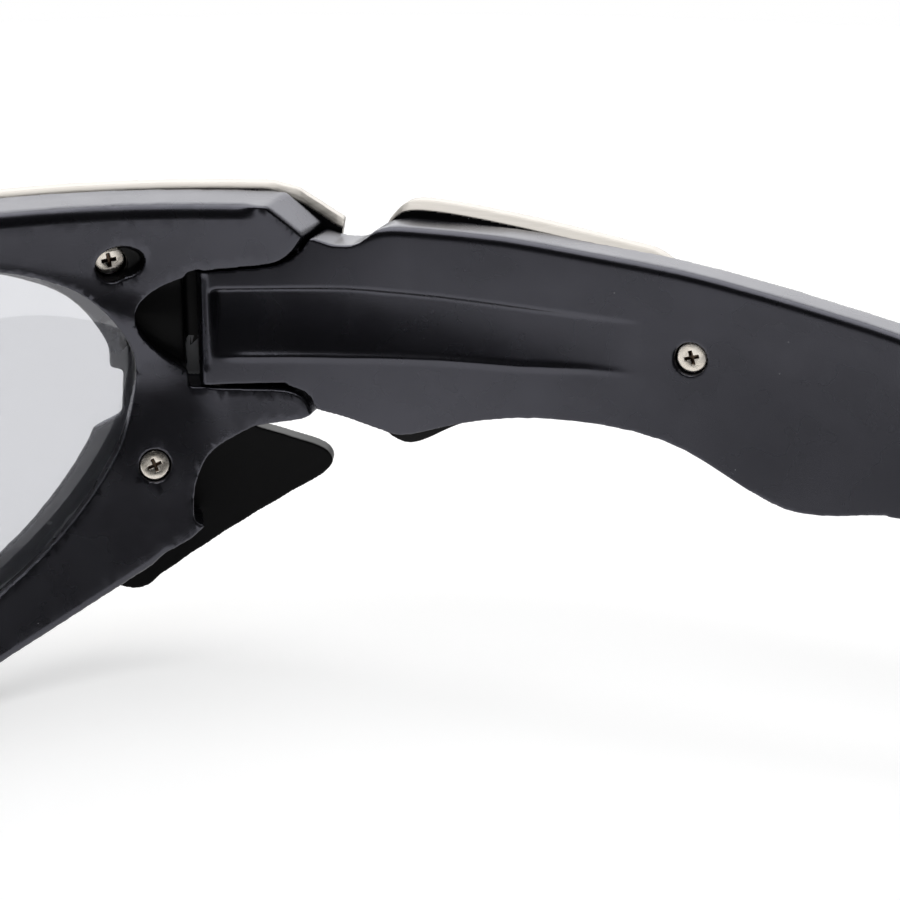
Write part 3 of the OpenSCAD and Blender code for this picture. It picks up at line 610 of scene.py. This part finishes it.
# %% The long scoop in an arm, and its lean
SCOOP_Y = np.array([-30.5, -26, -18.9, -10.4, -3.2, 3, 7.7])
SCOOP_TOP = [36.05, 35.95, 36.0, 35.64, 35.17, 34.8, 34.64]
SCOOP_LOW = [29.85, 29.72, 29.64, 29.81, 29.74, 30.0, 29.95]
SCOOP_DEEP = [1.3, 1.3, 1.15, 0.75, 0.38, 0.14, 0]
BEAD_HIGH, BEAD_WIDE, ARM_LEAN = 0.16, 0.27, 1.5 * MM


def close_scoop(piece):
    """Lays the CAD model's plain channel back in line with the face, before the remesh."""
    face = OnArm(piece)
    inside = within(face.along, -30.6 * MM, 9 * MM) & within(face.up, 28.9 * MM, 37 * MM)
    face.depth[inside & (face.depth < face.wall * 0.85)] = 0
    face.write()


def scoop(face):
    """How deep the scoop is at each point."""
    y, z = face.along / MM, face.up / MM
    top, low, deep = (np.interp(y, SCOOP_Y, row) for row in (SCOOP_TOP, SCOOP_LOW, SCOOP_DEEP))
    share = (top - z) / (top - low)
    inside = np.clip(share, 0, 1)
    shape = ease(share, -0.02, 0.03) * (1 - 0.2 * inside - 0.8 * inside**2.4)
    bead = BEAD_HIGH * np.exp(-(((z - low) / BEAD_WIDE) ** 2)) * ease(y, -29.5, -27) * (1 - ease(y, -1, 7.7))
    return (deep * shape - bead) * MM * ease(y, -30.3, -29.3)


def lean(face):
    """The back of an arm leans in at its lower edge, towards the head."""
    back = ease(face.along, -18 * MM, 20 * MM)
    return -ARM_LEAN * back * (1 - np.cos(math.pi / 2 * np.clip((37 * MM - face.up) / (18 * MM), 0, 1)))


# %% [markdown]
# The top edge of an arm is rolled over behind the hinge, and its shoulder, which meets the lug when the arm
# is open, is set back a little. The scoop and these are pressed in together, and then the arm leans.

# %% Arms
ARM_ROLL, SHOULDER_BACK = 0.8 * MM, 0.8 * MM
arm = eased_copy("arm_right", "moulded_arm_right", 0.15, 16, close_scoop)
settle(OnArm(arm), [(0, 0), (1, 0)], 0.26 * MM)
face = OnArm(arm)
arm_top = top_line(face, -32 * MM, 64 * MM, within(face.depth, -0.3 * MM, 2.4 * MM))
rolled = rolled_edge(arm_top(face.along) - face.up, ARM_ROLL) * ease(face.along, -18 * MM, -15 * MM)
shoulder = SHOULDER_BACK * (1 - ease(face.along, -31.6 * MM, -30.1 * MM)) * ease(face.up, 28.4 * MM, 29.6 * MM)
press(face, scoop(face) + rolled + shoulder * (1 - ease(face.up, 37 * MM, 38 * MM)))
face = OnArm(arm)
face.depth += lean(face)
face.write()
arm.data.materials.append(black_nylon)
other = mirrored(arm, "moulded_arm_left")
for piece, side in ((arm, "right"), (other, "left")):
    thinned(piece, 190000)
    carry(piece, f"arm_{side}", f"{side}_arm")

# %% [markdown]
# A rubber sock slides over the tip of each arm, so it follows the arm's curve and its lean. A nose pad is
# small and soft all round, and its copy is smoothed the most.

# %% Ear socks
sock = eased_copy("ear_sock_right", "rubber_sock_right", 0.2, 12)
settle(OnArm(sock), [(0, 0), (1, 0)], 0.26 * MM)
face = OnArm(sock)
face.depth += lean(face)
face.write()
sock.data.materials.append(black_rubber)
other = mirrored(sock, "rubber_sock_left")
for piece, side in ((sock, "right"), (other, "left")):
    thinned(piece, 60000)
    carry(piece, f"ear_sock_{side}", f"{side}_arm")

# %% Nose pads
pad = eased_copy("nose_pad_right", "rubber_pad_right", 0.14, 20)
pad.data.materials.append(black_rubber)
other = mirrored(pad, "rubber_pad_left")
carry(pad, "nose_pad_right", "front")
carry(other, "nose_pad_left", "front")

# %% [markdown]
# ## Cross-head screws
# Each plate is held by small cross-head screws. The head is a disc with a rolled rim, and the driver's
# cross is a recess whose four wings narrow downwards to a point. A cutter of that shape is made of two
# bars and taken out of the head. The screw is made in millimetres and then made small.

# %% The cutter for the driver's cross
HEAD_R, HEAD_H, SHANK_R = 1.35, 0.6, 0.6
CROSS_LONG, CROSS_WIDE, CROSS_DEEP = 1.72, 0.42, 0.78


def faces_looking(piece, direction, least=0.9):
    """Selects the faces of the piece in edit mode whose normals look along a direction."""
    bpy.ops.mesh.select_all(action="DESELECT")
    bpy.ops.object.mode_set(mode="OBJECT")
    for face in piece.data.polygons:
        face.select = face.normal.dot(Vector(direction)) > least
    bpy.ops.object.mode_set(mode="EDIT")


def cross_cutter():
    """Two bars that narrow downwards, as one mesh: the shape of the driver's tip."""
    bars = []
    for turn in (0, math.pi / 2):
        bpy.ops.mesh.primitive_cube_add(size=1, location=(0, 0, HEAD_H - 0.02))
        bar = bpy.context.object
        bar.scale = (CROSS_LONG, CROSS_WIDE, CROSS_DEEP)
        bar.rotation_euler.z = turn
        bpy.ops.object.transform_apply(location=True, rotation=True, scale=True)
        places = points(bar)
        low = places[:, 2] < HEAD_H
        places[low, :2] *= 0.5
        set_points(bar, places)
        bars.append(bar)
    apply(bars[0], "BOOLEAN", object=bars[1], operation="UNION", solver="EXACT")
    bpy.data.objects.remove(bars[1])
    return bars[0]


# %% One cross-head screw, standing on its seat at the origin
def cross_head_screw(name, length, turn):
    """Length is the shank's, and turn is how far the cross is turned round."""
    if bpy.context.object and bpy.context.object.mode != "OBJECT":
        bpy.ops.object.mode_set(mode="OBJECT")
    bpy.ops.mesh.primitive_cylinder_add(vertices=96, radius=HEAD_R, depth=HEAD_H, location=(0, 0, HEAD_H / 2))
    screw = bpy.context.object
    screw.name = screw.data.name = name
    bpy.ops.object.transform_apply(location=True, rotation=True, scale=True)
    bpy.ops.object.mode_set(mode="EDIT")
    faces_looking(screw, (0, 0, 1))
    bpy.ops.mesh.inset(thickness=0.16)
    bpy.ops.transform.translate(value=(0, 0, 0.03))
    faces_looking(screw, (0, 0, -1))
    bpy.ops.mesh.inset(thickness=HEAD_R - SHANK_R)
    bpy.ops.mesh.extrude_region_move(TRANSFORM_OT_translate={"value": (0, 0, -length)})
    bpy.ops.object.mode_set(mode="OBJECT")
    cutter = cross_cutter()
    cutter.rotation_euler.z = turn
    apply(screw, "BOOLEAN", object=cutter, operation="DIFFERENCE", solver="EXACT")
    bpy.data.objects.remove(cutter)
    apply(screw, "BEVEL", width=0.045, segments=3, limit_method="ANGLE", angle_limit=math.radians(32))
    pick(screw)
    bpy.ops.object.shade_smooth_by_angle(angle=math.radians(28))
    return screw


# %% [markdown]
# A screw stands square on the wall that it sits in. Its place is an arc along the front's inner face, or
# a turn round the arm's long curve, and a depth of its seat under that face.

# %% Places of the screws
def on_front(arc, height, seat):
    """A seat in the front's inner face, its arc and height measured in millimetres."""
    turn = arc * MM / FRONT_IN
    high = height * MM + LIFT
    far = FRONT_IN + seat * MM - BARREL + math.sqrt(BARREL**2 - (high - BULGE_Z) ** 2)
    lean = math.asin((high - BULGE_Z) / BARREL)
    at = Vector((-WRAP_X - far * math.sin(turn), WRAP_Y - far * math.cos(turn), high))
    return Matrix.Translation(at) @ Matrix.Rotation(-turn, 4, "Z") @ Matrix.Rotation(-lean - math.pi / 2, 4, "X")


def on_arm(back, height, seat):
    """A seat in an arm's inner face, so far back from the origin."""
    turn = math.acos((LONG_Y - back * MM) / ARM_LONG)
    far = ARM_LONG + seat * MM
    at = Vector((LONG_X - far * math.sin(turn), LONG_Y - far * math.cos(turn), height * MM + LIFT))
    return Matrix.Translation(at) @ Matrix.Rotation(-turn, 4, "Z") @ Matrix.Rotation(-math.pi / 2, 4, "X")


# Each row: name, body, place, length of the shank in millimetres, and turn of the cross
ARM_SCREW_BACK = 12.331
SCREWS = [
    ("brow_screw_upper", "front", on_front(50.489, 16.272, 2.3), 3.87, math.radians(8)),
    ("brow_screw_lower", "front", on_front(53.608, -3.24, 1.0), 5.17, math.radians(20)),
    ("arm_plate_screw", "arm", on_arm(ARM_SCREW_BACK, 8.77, 0.95), 3.945, math.radians(17)),
]

# %% Cross-head screws in place
for name, body, place, length, turn in SCREWS:
    screw = cross_head_screw(f"cross_head_{name}_right", length, turn)
    screw.data.materials.append(warm_nickel)
    screw.data.materials.append(brown_tarnish)
    for face in screw.data.polygons:
        x, y, z = face.center
        face.material_index = 1 if 0.01 < z < HEAD_H - 0.08 and math.hypot(x, y) < 1 else 0
    screw.data.transform(place @ Matrix.Scale(MM, 4))
    low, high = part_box(f"{name}_right")
    places = points(screw)
    middle = Vector((places.min(axis=0) + places.max(axis=0)) / 2)
    print(name, "is", round(((low + high) / 2 - middle).length / MM, 3), "mm from its CAD node")
    other = mirrored(screw, f"cross_head_{name}_left")
    for piece, side in ((screw, "right"), (other, "left")):
        carry(piece, f"{name}_{side}", "front" if body == "front" else f"{side}_arm")

# %% [markdown]
# ## Hinge screws
# The hinge screws are seen only from below, down their access holes. The CAD model's slotted heads have
# the right shape, so they stay and get the plated finish.

# %% Hinge screws
for side in ("right", "left"):
    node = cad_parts[f"hinge_screw_{side}"]
    node.data.materials.clear()
    node.data.materials.append(warm_nickel)

# %% [markdown]
# ## Table, lamps and surroundings
# The object lies on a round white table under one wide soft lamp. A bright card behind it, which shows only
# in gloss, draws the light bands along the top edges. Black gloss needs something dark to mirror as well,
# or it looks grey: a black card lies on the table beside the camera, and shows only in gloss too. The camera
# sees the table as white, and the table keeps the object's shadow.

# %% Table and its finish
bpy.ops.mesh.primitive_circle_add(vertices=128, radius=0.4, fill_type="NGON", location=(0, 0, 0))
table = bpy.context.object
table.name = "table"
made, nodes, links, shader, place = finish("white_table")
shader.inputs["Roughness"].default_value = 0.7
links.new(ramp(nodes, links, noise(nodes, links, place, 40, 2), (0.78, 0.78, 0.78), (0.8, 0.8, 0.8)),
          shader.inputs["Base Color"])


# %% Two node helpers for levels of light
def combined(nodes, links, kind, first, second):
    """One Math node of a kind, fed by outputs or plain numbers."""
    made = nodes.new("ShaderNodeMath")
    made.operation = kind
    for socket, value in zip(made.inputs, (first, second)):
        if isinstance(value, (int, float)):
            socket.default_value = value
        else:
            links.new(value, socket)
    return made.outputs[0]


def soft_step(nodes, links, value, start, end, low, high):
    """A level that passes softly from low to high as the value goes from start to end."""
    made = nodes.new("ShaderNodeMapRange")
    made.interpolation_type = "SMOOTHSTEP"
    links.new(value, made.inputs["Value"])
    for name, number in (("From Min", start), ("From Max", end), ("To Min", low), ("To Max", high)):
        made.inputs[name].default_value = number
    return made.outputs["Result"]


# %% [markdown]
# The table's whiteness is a soft glow that only some rays see: the camera's, those that come through a lens,
# and those mirrored in gloss close to the object. It adds no plain light to the object.

# %% How white the table looks
TO_CAMERA, THROUGH_LENS, IN_GLOSS = 0.42, 0.62, 0.35
POOL_FULL, POOL_GONE = 0.11, 0.19
path = nodes.new("ShaderNodeLightPath").outputs
from_middle = nodes.new("ShaderNodeVectorMath")
from_middle.operation = "LENGTH"
links.new(place, from_middle.inputs[0])
seen = combined(nodes, links, "MULTIPLY", path["Is Camera Ray"], TO_CAMERA)
through = combined(nodes, links, "MULTIPLY", path["Is Transmission Ray"], THROUGH_LENS)
direct = combined(nodes, links, "MAXIMUM", seen, through)
not_through = combined(nodes, links, "SUBTRACT", 1, path["Is Transmission Ray"])
mirrored_only = combined(nodes, links, "MULTIPLY", path["Is Glossy Ray"], not_through)
pool = soft_step(nodes, links, from_middle.outputs["Value"], POOL_FULL, POOL_GONE, IN_GLOSS, 0)
lift = combined(nodes, links, "ADD", direct, combined(nodes, links, "MULTIPLY", mirrored_only, pool))
links.new(lift, shader.inputs["Emission Strength"])
shader.inputs["Emission Color"].default_value = (1, 1, 1, 1)
table.data.materials.append(made)

# %% Black card for the gloss
CARD_EDGE, CARD_TURN = Vector((1, 21, 0.4)) * MM, math.radians(-16)
bpy.ops.mesh.primitive_plane_add(size=1, location=(0.1, 0.25, 0))
black_card = bpy.context.object
black_card.name = "black_card"
black_card.scale = (0.8, 0.5, 1)
bpy.ops.object.transform_apply(location=True, rotation=True, scale=True)
black_card.data.transform(Matrix.Translation(CARD_EDGE) @ Matrix.Rotation(CARD_TURN, 4, "Z"))
made, nodes, links, shader, place = finish("black_felt")
links.new(ramp(nodes, links, noise(nodes, links, place, 2, 2), (0.006,), (0.012,)), shader.inputs["Base Color"])
shader.inputs["Roughness"].default_value = 1.0
shader.inputs["Specular IOR Level"].default_value = 0.0
black_card.data.materials.append(made)
black_card.visible_camera = black_card.visible_diffuse = False
black_card.visible_shadow = black_card.visible_transmission = False


# %% Lamps
TOP_WATTS, CARD_WATTS = 3.4, 2.6


def soft_lamp(name, at, size, watts, towards):
    """A wide lamp at a place, turned to another."""
    bpy.ops.object.light_add(type="AREA", location=at)
    lamp = bpy.context.object
    lamp.name = name
    lamp.data.shape = "RECTANGLE"
    lamp.data.size, lamp.data.size_y = size
    lamp.data.energy = watts
    lamp.rotation_euler = (Vector(towards) - Vector(at)).to_track_quat("-Z", "Y").to_euler()
    return lamp


soft_lamp("top_lamp", (-0.05, 0.0, 0.65), (0.8, 0.8), TOP_WATTS, (-0.05, 0, 0))
gloss_card = soft_lamp("gloss_card", (-0.62, -0.2, 0.34), (1.0, 0.5), CARD_WATTS, (-0.05, 0.0, 0.03))
gloss_card.visible_diffuse = False

# %% [markdown]
# The surroundings are a white sweep behind the object. In gloss they fall off to a dark room on the camera's
# side, and as plain light they are dim, so that the lamp above draws the shapes.

# %% Surroundings
SWEEP_THROUGH_LENS, ROOM_PLAIN, SWEEP_IN_GLOSS, ROOM_IN_GLOSS = 0.78, 0.25, 0.62, 0.02
world = bpy.data.worlds.new("studio")
bpy.context.scene.world = world
world.use_nodes = True
nodes, links = world.node_tree.nodes, world.node_tree.links
path = nodes.new("ShaderNodeLightPath").outputs
through = combined(nodes, links, "MULTIPLY", path["Is Transmission Ray"], SWEEP_THROUGH_LENS)
direct = combined(nodes, links, "MAXIMUM", path["Is Camera Ray"], through)
towards = nodes.new("ShaderNodeVectorMath")
towards.operation = "DOT_PRODUCT"
links.new(nodes.new("ShaderNodeTexCoord").outputs["Generated"], towards.inputs[0])
towards.inputs[1].default_value = (0.85, 0.52, 0)
in_gloss = soft_step(nodes, links, towards.outputs["Value"], -0.2, 0.35, SWEEP_IN_GLOSS, ROOM_IN_GLOSS)
not_glossy = combined(nodes, links, "SUBTRACT", 1, path["Is Glossy Ray"])
plain = combined(nodes, links, "MULTIPLY", not_glossy, ROOM_PLAIN)
gloss = combined(nodes, links, "MULTIPLY", path["Is Glossy Ray"], in_gloss)
indirect = combined(nodes, links, "ADD", plain, gloss)
links.new(combined(nodes, links, "MAXIMUM", indirect, direct), nodes["Background"].inputs["Color"])
print("table, cards, lamps and surroundings are set")
